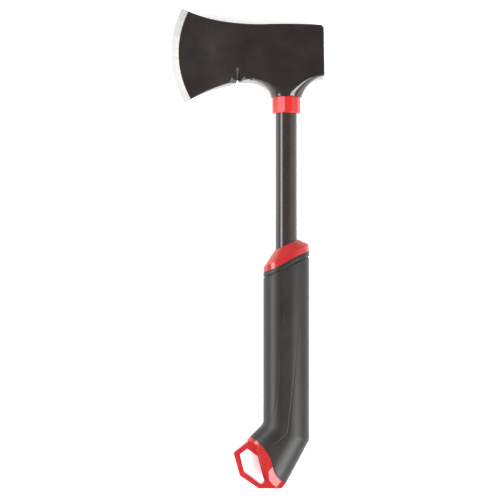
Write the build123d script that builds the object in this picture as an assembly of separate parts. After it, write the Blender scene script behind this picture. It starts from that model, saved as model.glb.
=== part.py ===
from build123d import *
import os
from math import atan2, cos, pi, radians, sin, tan

# A one-hand camp axe: a forged head with a round eye, on a tubular steel shaft
# with a two-shot moulded grip.  It is drawn in "handle" coordinates, in mm:
#   x = 0 on the shaft's centre line, the cutting edge towards -x, the poll at +x
#   y up the handle from the butt, the head at the top
#   z = 0 on the plane of symmetry, so the two cheeks are alike
# place() then lays it flat with its bounding box centred on x and y and on z = 0.

# ---- overall -------------------------------------------------------------
TOE_Y, BUTT_Y = 356.4, -0.7        # the axe's two ends, a nominal 14 in apart
THICK = 25.0                       # across the cheeks and across the grip
HALF = THICK / 2

# ---- head ----------------------------------------------------------------
BIT_X, BIT_Y = -11.32, 322.84      # centre that the curved edge is struck from
BIT_R = 74.34                      # cutting edge
EDGE_T = 0.05                      # half of the edge's own flat
MICRO_R, MICRO_T = 71.0, 0.98      # where the last fine bevel starts, half thickness
BEVEL_R, BEVEL_T = 68.9, 1.85      # where the ground bevel leaves the painted cheek
BEVEL_CLEAR = (61.3, 14.0)         # the same line carried on until it is clear of the cheeks
TAPER_MID, BLANK_END = (46.5, 7.0), (92.0, 1.5)    # rest of the cheek's taper: radius, half thickness
CHEEK_R = 21.0                     # the cheeks stay parallel inside this radius
TOP_TIP, TOP_MID, TOP_ROOT = (-84.0, 359.9), (-50.0, 346.2), (-16.0, 342.75)
BEARD_TIP, BEARD_MID, BEARD_ROOT = (-82.0, 281.5), (-51.5, 296.9), (-27.0, 302.0)
BLANK_X = -90.0                    # the forging before its edge is ground
POLL_TOP, POLL_BOTTOM = (27.4, 342.15), (27.95, 304.5)
POLL_CORNER, POLL_FOOT = 3.2, 1.0  # corner radii of the poll, seen from the side
POLL_RUN_ON = 0.8                  # the neck's bar runs on below the poll by this share of it
HEAD_EDGE = 1.3                    # rounding of the forging's long edges
EDGE_KEEP = 8.0                    # this close to the bit the long edges stay sharp
UPRIGHT, SIDE_TILT = 0.9, 0.02     # what counts as an edge, and as a face, across the thickness

NECK_Y, NECK_R = 289.7, 11.41      # lower rim of the neck
NECK_EDGE, NECK_BAND = 0.7, 0.9    # the rim's rounding, and its short upright band
POLL_FLARE = (31.02, 284.79, 20.16, 20.16)   # ellipse that flares the neck to the poll: x, y, two radii
BEARD_FLARE = (29.0, 289.7, 17.6, 11.9)      # and to the beard
POLL_TURN, BEARD_TURN = (15.0, 78.0), (2.0, 84.0)    # degrees of each that the neck follows
NECK_STEPS = 8
NEARLY_ROUND = 0.99                # corner radius of a square that stands for a circle
NECK_GROW, NECK_SHARPEN = 0.18, 0.45         # half thickness gained, corner radius lost, per mm of height
NECK_ROOT = 5.0                    # the neck runs on into the body by this much
NECK_UNDER = 0.05                  # its flat sides lie this far under the cheeks

NOTCH_X, NOTCH_Y = -36.3, 303.0    # tip of the nail notch on the plane of symmetry
NOTCH_LEAN = 0.78                  # how far the groove climbs per mm towards a cheek
NOTCH_LEFT, NOTCH_RIGHT = 0.55, 0.62   # slopes of its two sides
NOTCH_BASE = 285.0
NOTCH_ROUND = (0.25, 2.2)          # valley radius, at mid-plane and outside the cheek
NOTCH_OUT = HALF + 1.5

# ---- shaft ---------------------------------------------------------------
TUBE_OD, TUBE_WALL = 15.9, 1.65    # 5/8 in tube, 16 gauge
TUBE_ID = TUBE_OD - 2 * TUBE_WALL
TUBE_LOW, TUBE_TOP = 46.0, 342.0
FLARE_LOW = 330.0                  # the tube's top is expanded from here up
FLARE_GROW = 1.5                   # by this much on the diameter
GLUE = 0.3                         # thickness of the bond between tube and eye
PLUG_LEAD = 1.0                    # rounding of the expander plug's lower end
LOCK_Y = (150.0, 72.0)             # cross holes that the grip's plastic locks through
LOCK_D = 6.0
END_PLUG_LEN, END_PLUG_CAP = 12.0, 1.5
RING_W, RING_LOW, RING_EDGE = 20.4, 277.8, 1.1       # across its flats
RING_SIDES, RING_TURN = 12, 7.0    # the ring is faceted, and sits turned a few degrees

# ---- grip ----------------------------------------------------------------
GRIP_W = 34.0                      # straight part, seen from the side
GRIP_STRETCH, GRIP_CORNER = 1.25, 12.0       # its section is drawn narrower and stretched this much
SLANT, RIDGE_SLANT = 25.2, 27.1    # degrees, the grip's top lines rise to the poll
SHOULDER_Y = 180.2                 # on the axis: red shoulder meets the tube
RIDGE_Y = 172.3                    # shoulder turns into the collar
SPLIT_Y = 167.7                    # red collar ends, black rubber starts
SPLIT_BOW, SPLIT_STEP = 0.55, 8.0  # the split waves this much either way, drawn at points this far apart
GROOVE_DROP, GROOVE_W, GROOVE_D = 3.9, 1.1, 0.6    # ring groove in the rubber, below the split
COLLAR_STEP = 0.15                 # red collar lies this far under the rubber's face
RUBBER = 2.6                       # rubber thickness
SHOULDER_WALL = 0.6                # red lip round the tube at the shoulder's top
BEND_LEFT, BEND_RIGHT = (-17.0, 47.2), (17.0, 35.0)     # mitre line of the bend
HEEL_LEFT, HEEL_RIGHT = (-36.0, 28.5), (-3.4, -3.3)       # end of the bent part, inside the butt
HEEL_T, HEEL_STRETCH, HEEL_CORNER = 24.2, 1.6, 11.7
BUTT_SPLIT = [(-26.6, 37.4), (-21.4, 35.0), (-16.4, 29.8), (-12.3, 23.4),
              (-10.2, 16.4), (-7.3, 10.0), (-3.6, 5.6), (0.0, 3.4)]

# ---- butt and its hanging loop --------------------------------------------
LOOP_T = 9.0                       # thickness of the loop
LOOP_OUT = [(-28.45, 34.2), (-39.33, 25.96), (-34.6, 8.92), (-20.5, BUTT_Y), (-3.4, BUTT_Y), (0.4, 4.2)]
LOOP_OUT_R = (0.8, 2.0, 2.5, 1.5, 2.0)
LOOP_HOLE = [(-29.0, 29.0), (-34.5, 24.6), (-31.4, 11.6), (-18.6, 2.0), (-16.4, 4.6), (-21.35, 23.3)]
LOOP_HOLE_R = (0.9, 0.6, 0.6, 1.4, 1.4, 0.9)
LOOP_ROOT = [(-8.0, 14.0), (-18.0, 32.0)]    # the loop's plate ends inside the heel
LOOP_EDGE = 0.7                    # chamfer on the loop's edges
HUB_LINE = [(-100.0, 108.6), (-22.9, 28.6), (-20.7, 22.0), (-15.9, 4.6), (40.0, -37.9)]
HUB_DRAFT = 30.0                   # degrees, face that climbs from the loop to the grip
TRIM_DRAFT = 25.0                  # degrees, the butt's outline narrows away from the loop
TRIM_CLIMB = 0.82                  # slope of the outline beyond the loop's upper corner
FACETS = [((-11.7, 12.8, 11.4), 24.0, -42.0),        # flats at the butt's low corner: a point on each,
          ((-5.4, 4.0, 6.8), 62.0, -39.0)]           # its tilt, and the way that it faces
HEEL_ROOT = 89.0                   # the bent heel is red outside only below this level

FAR = 80.0                         # bigger than any cross section
SPARE = 5.0                        # stock that is cut away later
CENTRE_X = (BIT_X - BIT_R + POLL_BOTTOM[0]) / 2
CENTRE_Y = (TOE_Y + BUTT_Y) / 2


def place(shape):
    """Lays the finished piece in the shared frame."""
    return Pos(-CENTRE_X, -CENTRE_Y, HALF) * shape


def slant_plane(y, degrees=SLANT):
    """Plane that crosses the axis at y and rises to the poll, its normal up the handle."""
    rise = radians(degrees)
    return Plane(origin=(0, y, 0), x_dir=(cos(rise), sin(rise), 0), z_dir=(-sin(rise), cos(rise), 0))


def below(plane):
    """Everything on the lower side of a plane, near the grip."""
    return plane * Pos(0, 0, -2 * FAR) * Box(4 * FAR, 4 * FAR, 4 * FAR)


def rod(diameter, low, high):
    """Round bar on the shaft's axis, from y = low to y = high."""
    return Pos(0, (low + high) / 2, 0) * Rot(-90, 0, 0) * Cylinder(diameter / 2, high - low)


def horn(diameter, low, high, top_diameter):
    """Cone on the shaft's axis, wider at the top."""
    return Pos(0, (low + high) / 2, 0) * Rot(-90, 0, 0) * Cone(diameter / 2, top_diameter / 2, high - low)


def round_corners(face, points, radii):
    """Rounds the face's corners at the points given."""
    for point, radius in zip(points, radii):
        corner = face.vertices().sort_by_distance(Vector(*point))[0]
        face = fillet(corner, radius)
    return face


def polygon(points, radii=()):
    """Flat face from a list of corners; the first corners are rounded by the radii given."""
    return round_corners(make_face(Polyline(*points, close=True)), points, radii)


def slab(face, half):
    """Face drawn on the plane of symmetry, thickened both ways."""
    return extrude(Pos(0, 0, -half) * face, 2 * half)


def both_sides(shape):
    return shape + mirror(shape, Plane.XY)


# ---- head ------------------------------------------------------------------
def turned_about_bit(profile):
    """Solid of revolution about the bit's centre, from a list of (radius, half height) edges."""
    inner, outer = profile[0] @ 0, profile[-1] @ 1
    closing = Polyline(outer, (outer.X, 0), (0, 0), inner)
    quarter = Plane.XZ * make_face([*profile, closing])
    return Pos(BIT_X, BIT_Y, 0) * both_sides(revolve(quarter, Axis.Z))


def cheeks():
    """How thick the head is everywhere: parallel at the eye, drawn down to the bevel."""
    taper = Spline((CHEEK_R, HALF), TAPER_MID, (BEVEL_R, BEVEL_T), BLANK_END, tangents=[(1, 0), (1, 0)])
    lens = turned_about_bit([Line((0, HALF), (CHEEK_R, HALF)), taper])
    block = Pos(BIT_X + FAR / 2, BIT_Y, 0) * Box(FAR, FAR, THICK)
    return lens + block


def bevel():
    """The ground edge: everything outside this is ground away."""
    corners = [(0, BEVEL_CLEAR[1]), BEVEL_CLEAR, (BEVEL_R, BEVEL_T), (MICRO_R, MICRO_T), (BIT_R, EDGE_T)]
    return turned_about_bit([Line(a, b) for a, b in zip(corners, corners[1:])])


def head_outline():
    blade_top = ThreePointArc(TOP_TIP, TOP_MID, TOP_ROOT)
    dome = TangentArc(TOP_ROOT, POLL_TOP, tangent=blade_top % 1)
    beard = ThreePointArc(BEARD_TIP, BEARD_MID, BEARD_ROOT)
    under = TangentArc(BEARD_ROOT, POLL_BOTTOM, tangent=beard % 1)
    beyond_edge = Polyline(BEARD_TIP, (BLANK_X, BEARD_TIP[1]), (BLANK_X, TOP_TIP[1]), TOP_TIP)
    face = make_face([blade_top, dome, Line(POLL_TOP, POLL_BOTTOM), under, beard, beyond_edge])
    return round_corners(face, (POLL_TOP, POLL_BOTTOM), (POLL_CORNER, POLL_FOOT))


def neck_blank():
    """Bar that bounds the neck; its poll side carries on the body's, and its sides are the cheeks."""
    foot = Vector(*POLL_BOTTOM) + (Vector(*POLL_BOTTOM) - Vector(*POLL_TOP)) * POLL_RUN_ON
    corners = [POLL_TOP, (foot.X, foot.Y), (-FAR, foot.Y), (-FAR, POLL_TOP[1])]
    bar = slab(polygon(corners), HALF)
    long_edges = bar.edges().filter_by(Axis.Z, reverse=True)
    poll_edges = long_edges.sort_by(lambda edge: edge.center().X)[-2:]
    return fillet(poll_edges, HEAD_EDGE) & cheeks()


def flare_point(flare, turn, share, side):
    """Point of a flare's quarter ellipse; side is 1 towards the poll, -1 towards the beard."""
    x, y, reach, climb = flare
    angle = radians(turn[0] + (turn[1] - turn[0]) * share)
    return (side * (x - reach * cos(angle)), y + climb * sin(angle))


def neck():
    """Neck that opens from a round rim into the body, more on the beard's side, its corners sharpening."""
    sections = []
    for step in range(NECK_STEPS + 1):
        left = flare_point(BEARD_FLARE, BEARD_TURN, step / NECK_STEPS, -1)
        right = flare_point(POLL_FLARE, POLL_TURN, step / NECK_STEPS, 1)
        height = (left[1] + right[1]) / 2 - NECK_Y
        width = (Vector(*right) - Vector(*left)).length
        corner = NEARLY_ROUND * NECK_R - NECK_SHARPEN * height
        half = min(NECK_R + NECK_GROW * height, HALF - NECK_UNDER)
        outline = RectangleRounded(width, 2 * half, corner)
        sections.append(line_plane(left, right) * outline)
    rising = loft(sections)
    root = extrude(sections[-1], NECK_ROOT, dir=(0, 1, 0))
    band = rod(2 * NECK_R, NECK_Y, NECK_Y + NECK_BAND)
    band = fillet(band.edges().filter_by(GeomType.CIRCLE).sort_by(Axis.Y)[0], NECK_EDGE)
    return (band + rising + root) & neck_blank()


def notch():
    """V notch for pulling nails; its groove climbs outward on both cheeks."""
    faces = []
    for z, radius in zip((0.0, NOTCH_OUT), NOTCH_ROUND):
        tip_y = NOTCH_Y + NOTCH_LEAN * z
        drop = tip_y - NOTCH_BASE
        tip = (NOTCH_X, tip_y)
        base_left = (NOTCH_X - NOTCH_LEFT * drop, NOTCH_BASE)
        base_right = (NOTCH_X + NOTCH_RIGHT * drop, NOTCH_BASE)
        faces.append(Pos(0, 0, z) * polygon([tip, base_left, base_right], (radius,)))
    return both_sides(loft(faces, ruled=True))


def eye():
    """Round eye, opened at the top where the tube is expanded."""
    bore = TUBE_OD + 2 * GLUE
    grow = FLARE_GROW / (TUBE_TOP - FLARE_LOW)
    top = TUBE_TOP + SPARE
    return rod(bore, NECK_Y - SPARE, FLARE_LOW) + horn(bore, FLARE_LOW, top, bore + grow * (top - FLARE_LOW))


def is_upright(edge):
    """True for an edge that runs straight across the head's thickness."""
    return abs((edge @ 1 - edge @ 0).Z) > UPRIGHT * edge.length


def on_any(edge, faces):
    """True when the middle of an edge lies on one of the faces."""
    return any(face.distance_to(edge @ 0.5) < 1e-3 for face in faces)


def axe_head():
    body = slab(head_outline(), HALF + SPARE) & cheeks()
    side_faces = [face for face in body.faces() if abs(face.normal_at(face.center()).Z) < SIDE_TILT]
    long_edges = [edge for edge in body.edges() if not is_upright(edge) and on_any(edge, side_faces)]
    soft_edges = [edge for edge in long_edges if edge.center().X > BIT_X - BIT_R + EDGE_KEEP]
    body = fillet(soft_edges, HEAD_EDGE)
    return ((body + neck()) & bevel()) - notch() - eye()


# ---- shaft -------------------------------------------------------------------
def flared(diameter, low):
    """Bar up to the top of the tube, with the same expanded top."""
    return rod(diameter, low, FLARE_LOW) + horn(diameter, FLARE_LOW, TUBE_TOP, diameter + FLARE_GROW)


def lock_pins():
    return [Pos(0, y, 0) * Rot(0, 90, 0) * Cylinder(LOCK_D / 2, TUBE_OD + SPARE) for y in LOCK_Y]


def shaft_tube():
    tube = flared(TUBE_OD, TUBE_LOW) - flared(TUBE_ID, TUBE_LOW)
    for pin in lock_pins():
        tube -= pin
    return tube


def tube_expander_plug():
    plug = horn(TUBE_ID, FLARE_LOW, TUBE_TOP, TUBE_ID + FLARE_GROW)
    return fillet(plug.edges().sort_by(Axis.Y)[0], PLUG_LEAD)


def eye_bond():
    return flared(TUBE_OD + 2 * GLUE, NECK_Y) - flared(TUBE_OD, NECK_Y)


def neck_ring():
    """Moulded ring with twelve flats round it and rounded ends."""
    corner_d = RING_W / cos(pi / RING_SIDES)
    ring = rod(corner_d, RING_LOW, NECK_Y)
    ring = fillet(ring.edges().filter_by(GeomType.CIRCLE).sort_by(Axis.Y)[0], RING_EDGE)
    ring = fillet(ring.edges().filter_by(GeomType.CIRCLE).sort_by(Axis.Y)[-1], RING_EDGE / 2)
    outline = Rot(0, 0, 180 / RING_SIDES + RING_TURN) * RegularPolygon(corner_d / 2, RING_SIDES)
    ring &= Pos(0, RING_LOW, 0) * Rot(-90, 0, 0) * extrude(outline, FAR, both=True)
    return ring - rod(TUBE_OD, RING_LOW - SPARE, NECK_Y + SPARE)


def tube_end_plug():
    return rod(TUBE_ID, TUBE_LOW, TUBE_LOW + END_PLUG_LEN) + rod(TUBE_OD, TUBE_LOW - END_PLUG_CAP, TUBE_LOW)


# ---- grip --------------------------------------------------------------------
def oval(width, thick, corner, stretch, inset):
    """Section of the grip: a rounded rectangle, inset and then stretched sideways."""
    narrow = RectangleRounded(width / stretch - 2 * inset, thick - 2 * inset, corner - inset)
    return scale(narrow, by=(stretch, 1, 1))


def straight_bar(inset):
    """The grip's straight bar, inset from its outer face."""
    section = oval(GRIP_W, THICK, GRIP_CORNER, GRIP_STRETCH, inset)
    return Pos(0, SPLIT_Y / 2, 0) * Rot(-90, 0, 0) * extrude(section, SPLIT_Y, both=True)


def line_plane(left, right):
    """Plane across the handle through two points, its normal up the handle."""
    across = Vector(*right) - Vector(*left)
    middle = (Vector(*right) + Vector(*left)) / 2
    return Plane(origin=middle, x_dir=across, z_dir=(-across.Y, across.X, 0))


def grip_body(inset):
    """Straight bar and bent heel, as one shape, inset from the grip's outer face."""
    bend = line_plane(BEND_LEFT, BEND_RIGHT)
    heel = line_plane(HEEL_LEFT, HEEL_RIGHT)
    bar = straight_bar(inset) - below(bend)
    bend_face = bar.faces().sort_by_distance(bend.origin)[0]
    width = (Vector(*HEEL_RIGHT) - Vector(*HEEL_LEFT)).length
    heel_face = heel * oval(width, HEEL_T, HEEL_CORNER, HEEL_STRETCH, inset)
    return bar + loft([bend_face, heel_face], ruled=True)


def below_split(drop=0.0):
    """Everything under the slanted, slightly waved line where the rubber starts, or a line below it."""
    points = []
    for step in range(-3, 4):
        x = step * SPLIT_STEP
        wave = SPLIT_BOW * sin(2 * pi * x / GRIP_W)
        points.append((x, SPLIT_Y - drop + x * tan(radians(SLANT)) + wave))
    first, last = points[0], points[-1]
    rest = Polyline(last, (FAR, last[1]), (FAR, -2 * FAR), (-FAR, -2 * FAR), (-FAR, first[1]), first)
    return slab(make_face([Spline(*points), rest]), THICK)


def rubber_zone():
    """Where the grip is rubber: from the slanted split down to the red butt."""
    curve = Spline(*BUTT_SPLIT)
    first, last = curve @ 0, curve @ 1
    before = first - (curve % 0) * 2 * SPARE
    after = last + (curve % 1) * 2 * SPARE
    corners = [after, (FAR, after.Y), (FAR, 3 * FAR), (-FAR, 3 * FAR), (-FAR, before.Y), before]
    rest = Polyline(last, *corners, first)
    return slab(make_face([curve, rest]), THICK) & below_split()


def shoulder():
    """Slanted cone from the tube to the collar, with the collar's short band below it."""
    lip = TUBE_OD / 2 + SHOULDER_WALL
    round_top = RectangleRounded(2 * lip, 2 * lip, NEARLY_ROUND * lip)
    top = slant_plane(SHOULDER_Y) * scale(round_top, by=(1 / cos(radians(SLANT)), 1, 1))
    ridge = slant_plane(RIDGE_Y, RIDGE_SLANT)
    wide = oval(GRIP_W, THICK, GRIP_CORNER, GRIP_STRETCH, COLLAR_STEP)
    base = ridge * scale(wide, by=(1 / cos(radians(RIDGE_SLANT)), 1, 1))
    band = (straight_bar(COLLAR_STEP) & below(ridge)) - below_split()
    return loft([base, top], ruled=True) + band


def hub():
    """Keeps the heel where the grip ends, slopes it down to the loop, and cuts flats on its low corner."""
    face = polygon([*HUB_LINE, (TOE_Y, HUB_LINE[-1][1]), (TOE_Y, TOE_Y), (HUB_LINE[0][0], TOE_Y)])
    half_loop = LOOP_T / 2 - LOOP_EDGE
    sloped = extrude(Pos(0, 0, half_loop) * face, HALF, taper=HUB_DRAFT)
    for spot, tilt, way in FACETS:
        lean, turn = radians(tilt), radians(way)
        sloped &= below(Plane(origin=spot, z_dir=(sin(lean) * cos(turn), sin(lean) * sin(turn), cos(lean))))
    return slab(face, half_loop) + both_sides(sloped)


def loop():
    plate = slab(polygon([*LOOP_OUT, *LOOP_ROOT], LOOP_OUT_R), LOOP_T / 2)
    plate -= slab(polygon(LOOP_HOLE, LOOP_HOLE_R), THICK)
    rims = [edge for edge in plate.edges() if abs(abs(edge.center().Z) - LOOP_T / 2) < 1e-6]
    return chamfer(rims, LOOP_EDGE)


def butt_trim():
    """The butt's outline seen from the side, as a tall prism that narrows away from the loop."""
    upper, lower = LOOP_OUT[0], LOOP_OUT[-1]
    upper_end = upper[1] + TRIM_CLIMB * (FAR + upper[0])
    away = [(FAR, lower[1]), (FAR, 3 * FAR), (-FAR, 3 * FAR), (-FAR, upper_end)]
    face = polygon([*LOOP_OUT, *away], LOOP_OUT_R)
    half_loop = LOOP_T / 2
    return slab(face, half_loop) + both_sides(extrude(Pos(0, 0, half_loop) * face, HALF, taper=TRIM_DRAFT))


def grip_core():
    inner = grip_body(RUBBER) & below_split()
    heel = (grip_body(0) - rubber_zone()) & below(slant_plane(HEEL_ROOT))
    core = shoulder() + ((inner + heel) & butt_trim() & hub()) + loop()
    core -= slab(polygon(LOOP_HOLE, LOOP_HOLE_R), THICK)
    core -= rod(TUBE_OD, TUBE_LOW - END_PLUG_CAP, TOE_Y)
    bore = rod(TUBE_OD, TUBE_LOW, TOE_Y)
    for pin in lock_pins():
        core += pin & bore
    return core


def grip_sleeve(core):
    skin = (grip_body(0) & rubber_zone()) - core - rod(TUBE_OD, TUBE_LOW - END_PLUG_CAP, TOE_Y)
    groove = below_split(GROOVE_DROP - GROOVE_W / 2) - below_split(GROOVE_DROP + GROOVE_W / 2)
    return skin - (groove - straight_bar(GROOVE_D))


os.makedirs("parts", exist_ok=True)
core = grip_core()
PIECES = {
    "axe_head": axe_head(),
    "shaft_tube": shaft_tube(),
    "tube_expander_plug": tube_expander_plug(),
    "eye_bond": eye_bond(),
    "neck_ring": neck_ring(),
    "grip_core": core,
    "grip_sleeve": grip_sleeve(core),
    "tube_end_plug": tube_end_plug(),
}

for name, piece in PIECES.items():
    export_step(place(piece), f"parts/{name}.step")
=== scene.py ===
from math import cos, hypot, pi, radians, sin, tan

import bpy
import numpy as np
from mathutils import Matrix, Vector


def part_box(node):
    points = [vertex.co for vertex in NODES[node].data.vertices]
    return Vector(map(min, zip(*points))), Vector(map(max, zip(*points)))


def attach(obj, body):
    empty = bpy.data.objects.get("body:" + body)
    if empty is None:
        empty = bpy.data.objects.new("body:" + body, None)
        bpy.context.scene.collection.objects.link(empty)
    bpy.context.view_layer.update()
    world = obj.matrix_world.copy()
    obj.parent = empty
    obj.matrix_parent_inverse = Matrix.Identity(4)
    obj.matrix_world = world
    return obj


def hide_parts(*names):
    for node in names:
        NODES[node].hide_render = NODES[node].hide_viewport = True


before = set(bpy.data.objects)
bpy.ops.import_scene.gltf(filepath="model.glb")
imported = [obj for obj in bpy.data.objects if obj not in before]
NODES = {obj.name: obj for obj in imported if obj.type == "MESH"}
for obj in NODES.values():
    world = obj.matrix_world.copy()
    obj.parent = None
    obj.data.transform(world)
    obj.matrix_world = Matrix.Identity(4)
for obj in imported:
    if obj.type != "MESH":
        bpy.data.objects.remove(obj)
bpy.context.view_layer.update()

# A one-hand camp axe lying on its cheek.  Lengths are in millimetres and are turned into
# metres by MM.  "Handle" coordinates: x from the shaft's centre line towards the poll,
# y up from the butt, z up from the plane of symmetry.
MM = 0.001
BUTT_DROP = 0.7                    # the butt's lowest point is this far below y = 0
TUBE_LOW, TUBE_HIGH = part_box("shaft_tube")
AXIS_X = (TUBE_LOW.x + TUBE_HIGH.x) / 2
MID_Z = (TUBE_LOW.z + TUBE_HIGH.z) / 2
BUTT_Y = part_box("grip_core")[0].y + BUTT_DROP * MM


def handle(x, y, z=0.0):
    """Row-frame point of a place given in handle coordinates."""
    return Vector((AXIS_X + x * MM, BUTT_Y + y * MM, MID_Z + z * MM))


# ---- sizes shared with the CAD ------------------------------------------------
BIT_CENTRE = handle(-11.32, 322.84)     # the cutting edge is struck from here
PAINT_R, MICRO_R, EDGE_R = 68.65, 71.0, 74.34      # paint line, last bevel, cutting edge

GRIP_W, GRIP_T = 34.0, 25.0             # the straight grip's width and thickness
GRIP_STRETCH, GRIP_CORNER = 1.25, 12.0  # the section is drawn narrower and stretched
GRIP_SLANT = tan(radians(25.2))         # the grip's top lines climb to the poll
SPLIT_Y, SPLIT_BOW = 167.7, 0.55        # rubber starts here on the axis, in a slight wave
GROOVE_DROP, GROOVE_W, GROOVE_D = 3.9, 1.1, 0.6     # ring groove, measured down from the split
RUBBER = 2.55                           # thickness of the rubber
BEND_LEFT, BEND_RIGHT = (-17.0, 47.2), (17.0, 35.0)      # corners of the grip where it bends
HEEL_LEFT, HEEL_RIGHT = (-36.0, 28.5), (-3.4, -3.3)      # corners of the section that it bends towards
HEEL_T, HEEL_STRETCH, HEEL_CORNER = 24.2, 1.6, 11.7
# The rubber stops at the red butt along this line of (x, height) points.
BUTT_SPLIT = [(-30.0, 38.9), (-26.6, 37.4), (-21.4, 35.0), (-16.4, 29.8), (-12.3, 23.4),
              (-10.2, 16.4), (-7.3, 10.0), (-3.6, 5.6), (0.0, 3.4), (6.0, -0.3)]

# ---- camera ---------------------------------------------------------------------
CAMERA_AT = Vector((0.00188, -0.0015, MID_Z + 0.968))      # over the middle of the axe, looking down
LENS, SENSOR = 93.6, 36.0


def camera():
    data = bpy.data.cameras.new("camera")
    data.lens = LENS
    data.sensor_width = SENSOR
    eye = bpy.data.objects.new("camera", data)
    eye.location = CAMERA_AT
    bpy.context.scene.collection.objects.link(eye)
    bpy.context.scene.camera = eye


# ---- studio ----------------------------------------------------------------------
TARGET = Vector((0.0, 0.0, MID_Z))
# Degrees round from +X and off the vertical; distance, height and breadth in metres; radiance.
LAMPS = {
    "key_left": (180, 54, 1.35, 0.49, 1.7, 6.8),
    "fill_right": (0, 62, 1.5, 1.1, 1.9, 0.5),
    "kick_low_right": (-40, 46, 1.4, 0.9, 0.7, 9.6),
}
SKY = ((0.0, 0.75), (0.45, 0.60), (0.78, 0.25), (0.93, 0.08), (1.0, 0.06))    # 0 horizon, 1 overhead: level
SKY_TINT = (1.0, 0.985, 0.97)
AREA_SHARE = 4                     # Cycles takes a lamp's radiance as its energy / (4 * area)


def softbox(name, azimuth, off_axis, distance, height, breadth, radiance):
    """Rectangular light that looks at the object; azimuth is from +X, off_axis from straight up."""
    data = bpy.data.lights.new(name, "AREA")
    data.shape = "RECTANGLE"
    data.size = breadth
    data.size_y = height
    data.energy = AREA_SHARE * height * breadth * radiance
    lamp = bpy.data.objects.new(name, data)
    turn, lean = radians(azimuth), radians(off_axis)
    outward = Vector((cos(turn) * sin(lean), sin(turn) * sin(lean), cos(lean)))
    lamp.location = TARGET + distance * outward
    inward = TARGET - lamp.location
    lamp.rotation_euler = inward.to_track_quat("-Z", "Y").to_euler()
    bpy.context.scene.collection.objects.link(lamp)


def sky():
    """White surroundings that fade to a dark ceiling behind the camera."""
    world = bpy.data.worlds.new("studio")
    bpy.context.scene.world = world
    world.use_nodes = True
    nodes, links = world.node_tree.nodes, world.node_tree.links
    coords = nodes.new("ShaderNodeTexCoord")
    split = nodes.new("ShaderNodeSeparateXYZ")
    ramp = nodes.new("ShaderNodeValToRGB")
    ramp.color_ramp.interpolation = "EASE"
    for place, _ in SKY[1:-1]:
        ramp.color_ramp.elements.new(place)
    for element, (place, level) in zip(ramp.color_ramp.elements, SKY):
        element.position = place
        element.color = (*(level * share for share in SKY_TINT), 1)
    links.new(coords.outputs["Generated"], split.inputs[0])
    links.new(split.outputs["Z"], ramp.inputs[0])
    links.new(ramp.outputs[0], nodes["Background"].inputs[0])


def studio():
    sky()
    for name, settings in LAMPS.items():
        softbox(name, *settings)
    bpy.context.scene.view_settings.view_transform = "Standard"


# ---- node helpers ------------------------------------------------------------------
class Shader:
    """A node material with one Principled surface, in object coordinates."""

    def __init__(self, name):
        self.material = bpy.data.materials.new(name)
        self.material.use_nodes = True
        self.nodes = self.material.node_tree.nodes
        self.links = self.material.node_tree.links
        self.surface = self.nodes["Principled BSDF"]
        self.place = self.nodes.new("ShaderNodeTexCoord").outputs["Object"]

    def put(self, value, socket):
        """Links a node's output, or sets a plain value."""
        if isinstance(value, bpy.types.NodeSocket):
            self.links.new(value, socket)
        else:
            socket.default_value = value

    def set(self, **sockets):
        for name, value in sockets.items():
            self.put(value, self.surface.inputs[name.replace("_", " ")])

    def math(self, operation, *values):
        node = self.nodes.new("ShaderNodeMath")
        node.operation = operation
        for value, socket in zip(values, node.inputs):
            self.put(value, socket)
        return node.outputs[0]

    def vector(self, operation, *values):
        node = self.nodes.new("ShaderNodeVectorMath")
        node.operation = operation
        for value, socket in zip(values, node.inputs):
            self.put(value, socket)
        return node.outputs["Value" if operation == "LENGTH" else "Vector"]

    def noise(self, size, detail=2.0, rough=0.5, place=None):
        """Noise whose blobs are about this many millimetres across."""
        node = self.nodes.new("ShaderNodeTexNoise")
        node.inputs["Scale"].default_value = 1 / (size * MM)
        node.inputs["Detail"].default_value = detail
        node.inputs["Roughness"].default_value = rough
        self.put(self.place if place is None else place, node.inputs["Vector"])
        return node.outputs["Fac"]

    def cells(self, size):
        """Rounded cells about this many millimetres across."""
        node = self.nodes.new("ShaderNodeTexVoronoi")
        node.inputs["Scale"].default_value = 1 / (size * MM)
        self.put(self.place, node.inputs["Vector"])
        return node.outputs["Distance"]

    def span(self, value, low, high, out_low, out_high):
        """Maps low..high to out_low..out_high, held at both ends."""
        node = self.nodes.new("ShaderNodeMapRange")
        for setting, socket in zip((value, low, high, out_low, out_high), node.inputs):
            self.put(setting, socket)
        return node.outputs["Result"]

    def spread(self, noise, low=0.0, high=1.0):
        """A noise's usual range, spread over low..high."""
        return self.span(noise, 0.3, 0.7, low, high)

    def mix_value(self, share, first, second):
        node = self.nodes.new("ShaderNodeMix")
        self.put(share, node.inputs[0])
        self.put(first, node.inputs[2])
        self.put(second, node.inputs[3])
        return node.outputs[0]

    def mix(self, share, first, second):
        """Mix of two colours."""
        node = self.nodes.new("ShaderNodeMix")
        node.data_type = "RGBA"
        self.put(share, node.inputs["Factor"])
        self.put(first, node.inputs[6])
        self.put(second, node.inputs[7])
        return node.outputs[2]

    def bump(self, height, depth, under=None):
        """Bump of a 0..1 height that is depth millimetres tall."""
        node = self.nodes.new("ShaderNodeBump")
        node.inputs["Distance"].default_value = depth * MM
        self.put(height, node.inputs["Height"])
        if under is not None:
            self.links.new(under, node.inputs["Normal"])
        return node.outputs["Normal"]


def rgb(red, green, blue):
    return (red, green, blue, 1.0)


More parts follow.
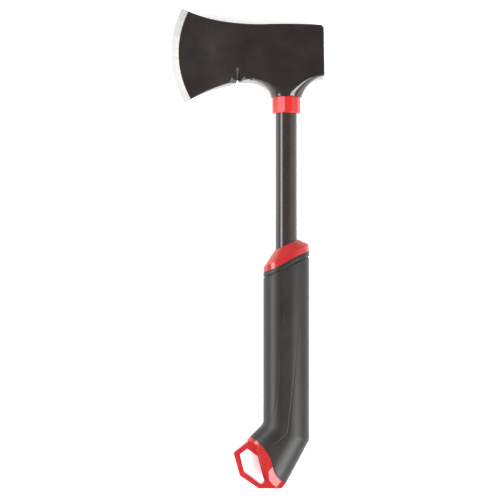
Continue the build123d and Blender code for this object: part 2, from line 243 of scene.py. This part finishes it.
# ---- materials ----------------------------------------------------------------------
PAINT = rgb(0.019, 0.016, 0.015), rgb(0.026, 0.021, 0.019)
# the two grinds are real; their different tints and brightness are painted reflection
GROUND_STEEL = rgb(0.34, 0.33, 0.305), rgb(0.46, 0.46, 0.465)        # bevel, and the last fine bevel
TUBE_BLACK = rgb(0.024, 0.021, 0.019), rgb(0.034, 0.029, 0.026)
RING_RED = rgb(0.50, 0.020, 0.020), rgb(0.56, 0.025, 0.025)
CORE_RED = rgb(0.385, 0.0175, 0.0185), rgb(0.435, 0.0205, 0.0215)
RUBBER_BLACK = rgb(0.016, 0.0150, 0.014), rgb(0.021, 0.0195, 0.018)
# painted shade: a darker black laid into the pits of the rubber's grain
RUBBER_PIT_SHADE = rgb(0.008, 0.0075, 0.007)
TURNED_STEEL = rgb(0.50, 0.49, 0.47), rgb(0.62, 0.61, 0.59)
RESIN_AMBER = rgb(0.05, 0.042, 0.03), rgb(0.10, 0.085, 0.06)
NYLON_BLACK = rgb(0.03, 0.03, 0.03), rgb(0.05, 0.05, 0.05)

PAINT_ROUGH, GROUND_ROUGH, TUBE_ROUGH = (0.10, 0.13), (0.44, 0.58), (0.13, 0.20)
RING_ROUGH, CORE_ROUGH, RUBBER_ROUGH = (0.16, 0.24), (0.15, 0.23), (0.37, 0.45)
RUBBER_SPECULAR = 0.33
LINE_WANDER, LINE_BLUR = 0.08, 0.04     # mm, how ragged and how soft the paint line is
MICRO_BLUR = 0.05                       # mm, how soft the start of the last fine bevel is
GRIND_SQUASH = 0.035                    # the grinding streaks are this thin for their length
TOOL_PITCH = 0.35                       # mm between the turned plug's tool marks


def head_finish():
    """Gloss black paint on the forging, ground away to bright steel outside the paint line."""
    look = Shader("head_black_and_ground_edge")
    arm = look.vector("SUBTRACT", look.place, tuple(BIT_CENTRE))
    flat = look.vector("MULTIPLY", arm, (1, 1, 0))
    radius = look.vector("LENGTH", flat)
    parts = look.nodes.new("ShaderNodeSeparateXYZ")
    look.links.new(arm, parts.inputs[0])
    sweep = look.math("ARCTAN2", parts.outputs["Y"], look.math("MULTIPLY", parts.outputs["X"], -1.0))

    ragged = look.spread(look.noise(0.8), -LINE_WANDER * MM, LINE_WANDER * MM)
    line = look.math("ADD", radius, ragged)
    bare = look.span(line, (PAINT_R - LINE_BLUR) * MM, (PAINT_R + LINE_BLUR) * MM, 0.0, 1.0)

    grind_at = look.nodes.new("ShaderNodeCombineXYZ")
    look.put(look.math("MULTIPLY", sweep, EDGE_R * MM), grind_at.inputs["X"])
    look.put(look.math("MULTIPLY", radius, GRIND_SQUASH), grind_at.inputs["Y"])
    look.put(look.math("MULTIPLY", parts.outputs["Z"], GRIND_SQUASH), grind_at.inputs["Z"])
    streaks = look.noise(0.16, detail=4, rough=0.65, place=grind_at.outputs[0])
    broad = look.noise(1.6, detail=2, place=grind_at.outputs[0])

    peel = look.noise(1.1, detail=2)
    blotch = look.noise(14, detail=3)
    paint = look.mix(look.span(blotch, 0.35, 0.65, 0, 1), *PAINT)
    # painted reflection: the last fine bevel gets a brighter, cooler steel than the main bevel
    outer = look.span(radius, (MICRO_R - MICRO_BLUR) * MM, (MICRO_R + MICRO_BLUR) * MM, 0.0, 1.0)
    steel = look.mix(outer, *GROUND_STEEL)
    look.set(Base_Color=look.mix(bare, paint, steel), Metallic=bare)
    paint_rough = look.spread(blotch, *PAINT_ROUGH)
    steel_rough = look.span(look.math("ADD", streaks, broad), 0.7, 1.3, *GROUND_ROUGH)
    look.set(Roughness=look.mix_value(bare, paint_rough, steel_rough))
    peel_height = look.math("MULTIPLY", peel, look.math("SUBTRACT", 1.0, bare))
    paint_bump = look.bump(peel_height, 0.012)
    grind_height = look.math("MULTIPLY", streaks, bare)
    look.set(Normal=look.bump(grind_height, 0.010, paint_bump))
    return look.material


def tube_finish():
    """Gloss black enamel sprayed on drawn tube."""
    look = Shader("tube_gloss_black")
    blotch = look.noise(9, detail=3)
    look.set(Base_Color=look.mix(blotch, *TUBE_BLACK), Roughness=look.spread(blotch, *TUBE_ROUGH))
    drawn = look.noise(1.0, detail=2, place=look.vector("MULTIPLY", look.place, (1, 0.08, 1)))
    look.set(Normal=look.bump(look.noise(0.8), 0.004, look.bump(drawn, 0.004)))
    return look.material


def red_plastic(name, reds, rough):
    """Moulded red plastic with a faint flow pattern and a fine spark-eroded skin."""
    look = Shader(name)
    flow = look.noise(12, detail=3, rough=0.6)
    look.set(Base_Color=look.mix(look.spread(flow), *reds), Roughness=look.spread(look.noise(3), *rough))
    look.set(Normal=look.bump(look.noise(0.30, detail=1), 0.006))
    return look.material


def rubber():
    """Soft black grip rubber: matt and finely grained, with painted shade darkening the pits of its grain."""
    look = Shader("grip_black_rubber")
    cloud = look.noise(16, detail=3, rough=0.6)
    grain = look.cells(0.42)
    fine = look.noise(0.25, detail=2)
    tint = look.mix(look.spread(cloud), *RUBBER_BLACK)
    # painted shade: the pits of the grain are mixed up to a quarter of the way towards the darker black
    look.set(Base_Color=look.mix(look.span(grain, 0.1, 0.7, 0.25, 0.0), tint, RUBBER_PIT_SHADE))
    look.set(Roughness=look.spread(cloud, *RUBBER_ROUGH), Specular_IOR_Level=RUBBER_SPECULAR)
    look.set(Normal=look.bump(fine, 0.010, look.bump(grain, 0.022)))
    return look.material


def turned_steel():
    """Bare turned steel: concentric tool marks about the shaft's axis."""
    look = Shader("plug_turned_steel")
    arm = look.vector("SUBTRACT", look.place, tuple(handle(0, 0)))
    radius = look.vector("LENGTH", look.vector("MULTIPLY", arm, (1, 0, 1)))
    rings = look.math("SINE", look.math("MULTIPLY", radius, 2 * pi / (TOOL_PITCH * MM)))
    look.set(Base_Color=look.mix(look.noise(3), *TURNED_STEEL), Metallic=1.0)
    look.set(Roughness=look.spread(look.noise(1.2), 0.26, 0.40))
    look.set(Normal=look.bump(look.span(rings, -1, 1, 0, 1), 0.012))
    return look.material


def resin():
    """Hardened amber-grey bond line."""
    look = Shader("bond_resin")
    look.set(Base_Color=look.mix(look.noise(1.5), *RESIN_AMBER))
    look.set(Roughness=look.spread(look.noise(0.8), 0.25, 0.5))
    look.set(Normal=look.bump(look.noise(0.5), 0.03))
    return look.material


def end_plug_plastic():
    """Plain moulded nylon, black."""
    look = Shader("end_plug_nylon")
    look.set(Base_Color=look.mix(look.noise(4), *NYLON_BLACK), Roughness=look.spread(look.noise(2), 0.4, 0.5))
    look.set(Normal=look.bump(look.noise(0.3), 0.01))
    return look.material


# ---- rubber sleeve ----------------------------------------------------------------
# Engraved lines of the grip as (height, x) points, each with where it starts and stops and the
# lengths over which it fades there.
PANEL_RIGHT = [(166.0, 0.5), (162.0, 2.4), (158.4, 7.5), (152.8, 11.2), (150.4, 12.2), (139.9, 11.2),
               (119.8, 9.0), (95.5, 6.8), (74.1, 4.6), (55.6, 2.4), (43.4, 0.9), (26.4, -2.75), (10.0, -6.0)]
PANEL_LEFT = [(166.0, -8.5), (152.0, -4.0), (139.6, -0.9), (106.7, -5.0), (64.3, -7.5), (44.9, -10.1),
              (10.0, -12.0)]
RIGHT_ENDS, LEFT_ENDS = (24.0, 6.0, 162.0, 12.0), (44.0, 6.0, 141.0, 20.0)
PANEL_W, PANEL_D = 0.60, 0.12      # half width and depth of the engraved panel lines
PANEL_LEFT_SHARE = 0.6             # the finger-side line is shallower
PANEL_STEEP = 4.0                  # a line that crosses the grip is widened by at most this much
PANEL_FINE = 9                     # mesh lines across each engraved line

TOP_LIP = [(0.0, 0.35), (0.08, 0.17), (0.2, 0.05), (0.35, 0.0)]      # rounded top edge: drop, depth
GROOVE_SIDE = [(-0.15, 0.0), (0.0, 0.1), (0.12, 0.5), (0.3, GROOVE_D)]      # edge of the ring groove
BUTT_LIP = [(1.993, 0.04), (1.998, 0.12), (2.0, 0.25)]     # rounded lower edge: station, depth
BAND_DROPS = (1.5, 2.8)            # mesh rows between the split and the groove
GROOVE_GAP = 0.7                   # the even rows start this far below the groove
SIDE_LINES, FACE_LINES = 46, 14    # mesh lines round each side, and across each face
STRAIGHT_ROWS, HEEL_ROWS, HEEL_LAST = 130, 46, 1.98
INNER_STEP = 6                     # the inner wall has one row for this many of the outer skin
BEND_R = (7.0, 2.0)                # the bend's radius on the finger side and on the back
BEND_REACH = 0.45                  # the most of the heel's length that the bend's rounding takes
HALVINGS = 20                      # steps of the search for where the rubber meets the butt
QUARTER_FLAT = GRIP_W / GRIP_STRETCH / 2 - GRIP_CORNER
QUARTER_SIDE = GRIP_T / 2 - GRIP_CORNER
QUARTER_ARC = GRIP_CORNER * pi / 2
QUARTER = QUARTER_FLAT + QUARTER_ARC + QUARTER_SIDE
ROUND = 4 * QUARTER                # distance round the grip's section


class Curve:
    """Smooth curve through (place, value) points."""

    def __init__(self, points):
        self.place, self.value = np.array(sorted(points)).T
        self.slope = np.gradient(self.value, self.place)

    def __call__(self, where):
        where = np.clip(where, self.place[0], self.place[-1])
        i = np.clip(np.searchsorted(self.place, where) - 1, 0, len(self.place) - 2)
        gap = self.place[i + 1] - self.place[i]
        rise = self.value[i + 1] - self.value[i]
        t = (where - self.place[i]) / gap
        leave, arrive = self.slope[i] * gap, self.slope[i + 1] * gap
        square, cube = 3 * rise - 2 * leave - arrive, leave + arrive - 2 * rise
        return self.value[i] + t * (leave + t * (square + t * cube))


RIGHT_LINE, LEFT_LINE, SPLIT_LINE = Curve(PANEL_RIGHT), Curve(PANEL_LEFT), Curve(BUTT_SPLIT)


def smooth(t):
    """Eased step from 0 to 1."""
    t = np.clip(t, 0.0, 1.0)
    return t * t * (3 - 2 * t)


def fade(height, low, low_run, high, high_run):
    """1 between low and high, falling to 0 at both over the lengths given."""
    return smooth((height - low) / low_run) * smooth((high - height) / high_run)


def across(x):
    """Distance round the section from the middle of the front face, for a point at x."""
    size = np.abs(x) / GRIP_STRETCH
    tilt = np.arcsin(np.clip((size - QUARTER_FLAT) / GRIP_CORNER, 0.0, 1.0))
    return np.sign(x) * (np.minimum(size, QUARTER_FLAT) + GRIP_CORNER * tilt)


def section(phase, width, thick, corner, inset):
    """Points of a rounded rectangle; phase is the distance round the grip's own section."""
    turn = np.mod(phase, ROUND)
    quadrant = (turn // QUARTER).astype(int)
    way = turn - quadrant * QUARTER
    way = np.where(quadrant % 2 == 1, QUARTER - way, way)
    flat, side = width / 2 - corner, thick / 2 - corner
    tilt = np.clip((way - QUARTER_FLAT) / GRIP_CORNER, 0.0, pi / 2)
    level = np.clip((QUARTER - way) / QUARTER_SIDE, 0.0, 1.0)
    x = flat * np.clip(way / QUARTER_FLAT, 0.0, 1.0) + (corner - inset) * np.sin(tilt)
    z = side * level + (corner - inset) * np.cos(tilt)
    return np.where(quadrant < 2, x, -x), np.where((quadrant == 0) | (quadrant == 3), z, -z)


def stack(x, y, z):
    """Arrays of x, y and z as one array of points."""
    return np.stack(np.broadcast_arrays(x, y, z), axis=-1)


def generatrix(phase, inset):
    """Lengthwise lines of the sleeve: their points at the split, at the bend and at the butt."""
    x, z = section(phase, GRIP_W / GRIP_STRETCH, GRIP_T, GRIP_CORNER, inset)
    x = x * GRIP_STRETCH
    wave = SPLIT_BOW * np.sin(2 * pi * x / GRIP_W)
    top = stack(x, SPLIT_Y + GRIP_SLANT * x + wave, z)
    fall = (BEND_RIGHT[1] - BEND_LEFT[1]) / (BEND_RIGHT[0] - BEND_LEFT[0])
    bend = stack(x, BEND_LEFT[1] + fall * (x - BEND_LEFT[0]), z)
    run = np.subtract(HEEL_RIGHT, HEEL_LEFT)
    width = hypot(*run)
    hx, hz = section(phase, width / HEEL_STRETCH, HEEL_T, HEEL_CORNER, inset)
    middle = np.add(HEEL_LEFT, HEEL_RIGHT) / 2
    step = run / width * HEEL_STRETCH
    heel = stack(middle[0] + step[0] * hx, middle[1] + step[1] * hx, hz)
    near, far = np.zeros(x.shape), np.ones(x.shape)
    for _ in range(HALVINGS):
        t = (near + far) / 2
        at = bend + t[..., None] * (heel - bend)
        below = at[..., 1] < SPLIT_LINE(at[..., 0])
        near, far = np.where(below, near, t), np.where(below, t, far)
    return top, bend, bend + near[..., None] * (heel - bend)


def along(line, station):
    """Points of lengthwise lines at a station: 0..1 above the bend, 1..2 below it."""
    top, bend, end = line
    into_len = np.linalg.norm(bend - top, axis=-1, keepdims=True)
    out_len = np.linalg.norm(end - bend, axis=-1, keepdims=True)
    into, out = (bend - top) / into_len, (end - bend) / out_len
    turn = np.arccos(np.clip(np.sum(into * out, axis=-1, keepdims=True), -1, 1))
    share = np.clip(bend[..., :1] / GRIP_W + 0.5, 0, 1)
    radius = BEND_R[0] + (BEND_R[1] - BEND_R[0]) * share
    reach = np.minimum(radius * np.tan(turn / 2), BEND_REACH * out_len)
    left = np.where(station < 1, (1 - station) * into_len, (1 - station) * out_len)
    t = np.clip((reach - left) / (2 * reach), 0, 1)
    first, last = bend - into * reach, bend + out * reach
    rounded = (1 - t) ** 2 * first + 2 * t * (1 - t) * bend + t * t * last
    return np.where(left >= reach, bend - into * left, np.where(left <= -reach, bend - out * left, rounded))


def stations():
    """Rows of the sleeve from the split down to the butt, and how deep its ring groove is there."""
    length = SPLIT_Y - (BEND_LEFT[1] + BEND_RIGHT[1]) / 2
    low, high = GROOVE_DROP - GROOVE_W / 2, GROOVE_DROP + GROOVE_W / 2
    drops = TOP_LIP + [(drop, 0.0) for drop in BAND_DROPS]
    drops += [(low + inward, depth) for inward, depth in GROOVE_SIDE]
    drops += [(high - inward, depth) for inward, depth in reversed(GROOVE_SIDE)]
    drops += [(drop, 0.0) for drop in np.linspace(high + GROOVE_GAP, length, STRAIGHT_ROWS)]
    rows = [(drop / length, depth) for drop, depth in drops]
    rows += [(station, 0.0) for station in np.linspace(1, HEEL_LAST, HEEL_ROWS)[1:]]
    rows += BUTT_LIP
    return np.array(rows).T


def phases(height):
    """Mesh lines round the sleeve at some heights, with the engraved depth at each."""
    marks = []
    for line in (RIGHT_LINE, LEFT_LINE):
        slope = line(height - 0.5) - line(height + 0.5)      # how far it leans in 1 mm of height
        marks.append((across(line(height)), PANEL_W * np.minimum(PANEL_STEEP, np.hypot(1, slope))))
    (right, right_w), (left, left_w) = marks
    right_d = PANEL_D * fade(height, *RIGHT_ENDS)
    left_d = PANEL_D * PANEL_LEFT_SHARE * fade(height, *LEFT_ENDS)
    half = ROUND / 2
    engraved = [(right, right_w, right_d), (half - right, right_w, right_d),
                (half - left, left_w, left_d), (ROUND + left, left_w, left_d)]
    lines, depths = [], []
    for i, (centre, width, depth) in enumerate(engraved):
        for side in np.linspace(-1, 1, PANEL_FINE):
            lines.append(centre + side * width)
            depths.append(depth * cos(side * pi / 2) ** 2)
        last = i == len(engraved) - 1
        following, following_w = engraved[0 if last else i + 1][:2]
        start, stop = centre + width, following - following_w + (ROUND if last else 0)
        count = FACE_LINES if i % 2 else SIDE_LINES
        for share in np.linspace(0, 1, count + 1)[1:-1]:
            lines.append(start + share * (stop - start))
            depths.append(0 * height)
    return np.array(lines).T, np.array(depths).T


def outer_skin(station, ring_depth, height):
    """Outer face of the sleeve, with its ring groove and panel lines sunk into it."""
    lines, engraved = phases(height)
    skin = along(generatrix(lines, 0.0), station[:, None, None])
    round_step = np.roll(skin, -1, axis=1) - np.roll(skin, 1, axis=1)
    normals = np.cross(np.gradient(skin, axis=0), round_step)
    normals /= np.linalg.norm(normals, axis=2, keepdims=True)
    depth = np.maximum(ring_depth[:, None], engraved)
    return skin - depth[..., None] * normals


def sleeve():
    """Closed rubber sleeve: outer skin with its engraving, and the inner wall."""
    station, ring_depth = stations()
    top, bend, end = generatrix(np.array([0.0]), 0.0)
    heel_length = np.linalg.norm(end - bend)
    above = top[0, 1] + station * (bend[0, 1] - top[0, 1])
    height = np.where(station < 1, above, bend[0, 1] - (station - 1) * heel_length)
    outer = outer_skin(station, ring_depth, height)
    inner_lines = phases(height[::-INNER_STEP])[0]
    inner = along(generatrix(inner_lines, RUBBER), station[::-INNER_STEP, None, None])
    grid = np.concatenate([outer, inner])
    count_rows, count_round = grid.shape[:2]
    faces = []
    for row in range(count_rows):
        below = (row + 1) % count_rows
        for column in range(count_round):
            beside = (column + 1) % count_round
            faces.append((row * count_round + column, below * count_round + column,
                          below * count_round + beside, row * count_round + beside))
    mesh = bpy.data.meshes.new("grip_rubber_sleeve")
    mesh.from_pydata([handle(*p) for p in grid.reshape(-1, 3)], [], faces)
    mesh.shade_smooth()
    mesh.materials.append(rubber())
    piece = bpy.data.objects.new("grip_rubber_sleeve", mesh)
    bpy.context.scene.collection.objects.link(piece)
    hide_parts("grip_sleeve")
    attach(piece, "root")


# ---- carried-over CAD pieces ---------------------------------------------------------
def finish_cad():
    """Gives every carried-over node its own material."""
    looks = {
        "axe_head": head_finish(),
        "shaft_tube": tube_finish(),
        "tube_expander_plug": turned_steel(),
        "eye_bond": resin(),
        "neck_ring": red_plastic("ring_gloss_red", RING_RED, RING_ROUGH),
        "grip_core": red_plastic("core_gloss_red", CORE_RED, CORE_ROUGH),
        "tube_end_plug": end_plug_plastic(),
    }
    for node, look in looks.items():
        for slot in NODES[node].material_slots:
            slot.material = look


# ---- floor -----------------------------------------------------------------------------
FLOOR_HALF = 12.0                  # metres
FLOOR_GAP = 0.05                   # mm below the axe
FLOOR_GLOW = 0.45                  # the table is lit from within, like a light table
FLOOR_WHITE = rgb(0.88, 0.88, 0.88)


def floor():
    """Plain pale table that the axe lies on."""
    mesh = bpy.data.meshes.new("floor")
    corners = [(-FLOOR_HALF, -FLOOR_HALF, 0), (FLOOR_HALF, -FLOOR_HALF, 0),
               (FLOOR_HALF, FLOOR_HALF, 0), (-FLOOR_HALF, FLOOR_HALF, 0)]
    mesh.from_pydata(corners, [], [(0, 1, 2, 3)])
    table = bpy.data.objects.new("floor", mesh)
    table.location.z = -FLOOR_GAP * MM
    bpy.context.scene.collection.objects.link(table)
    look = Shader("floor_white")
    look.set(Base_Color=FLOOR_WHITE, Roughness=0.9, Emission_Color=rgb(1, 1, 1))
    look.set(Emission_Strength=FLOOR_GLOW)
    mesh.materials.append(look.material)


camera()
studio()
floor()
finish_cad()
sleeve()

bpy.context.view_layer.update()
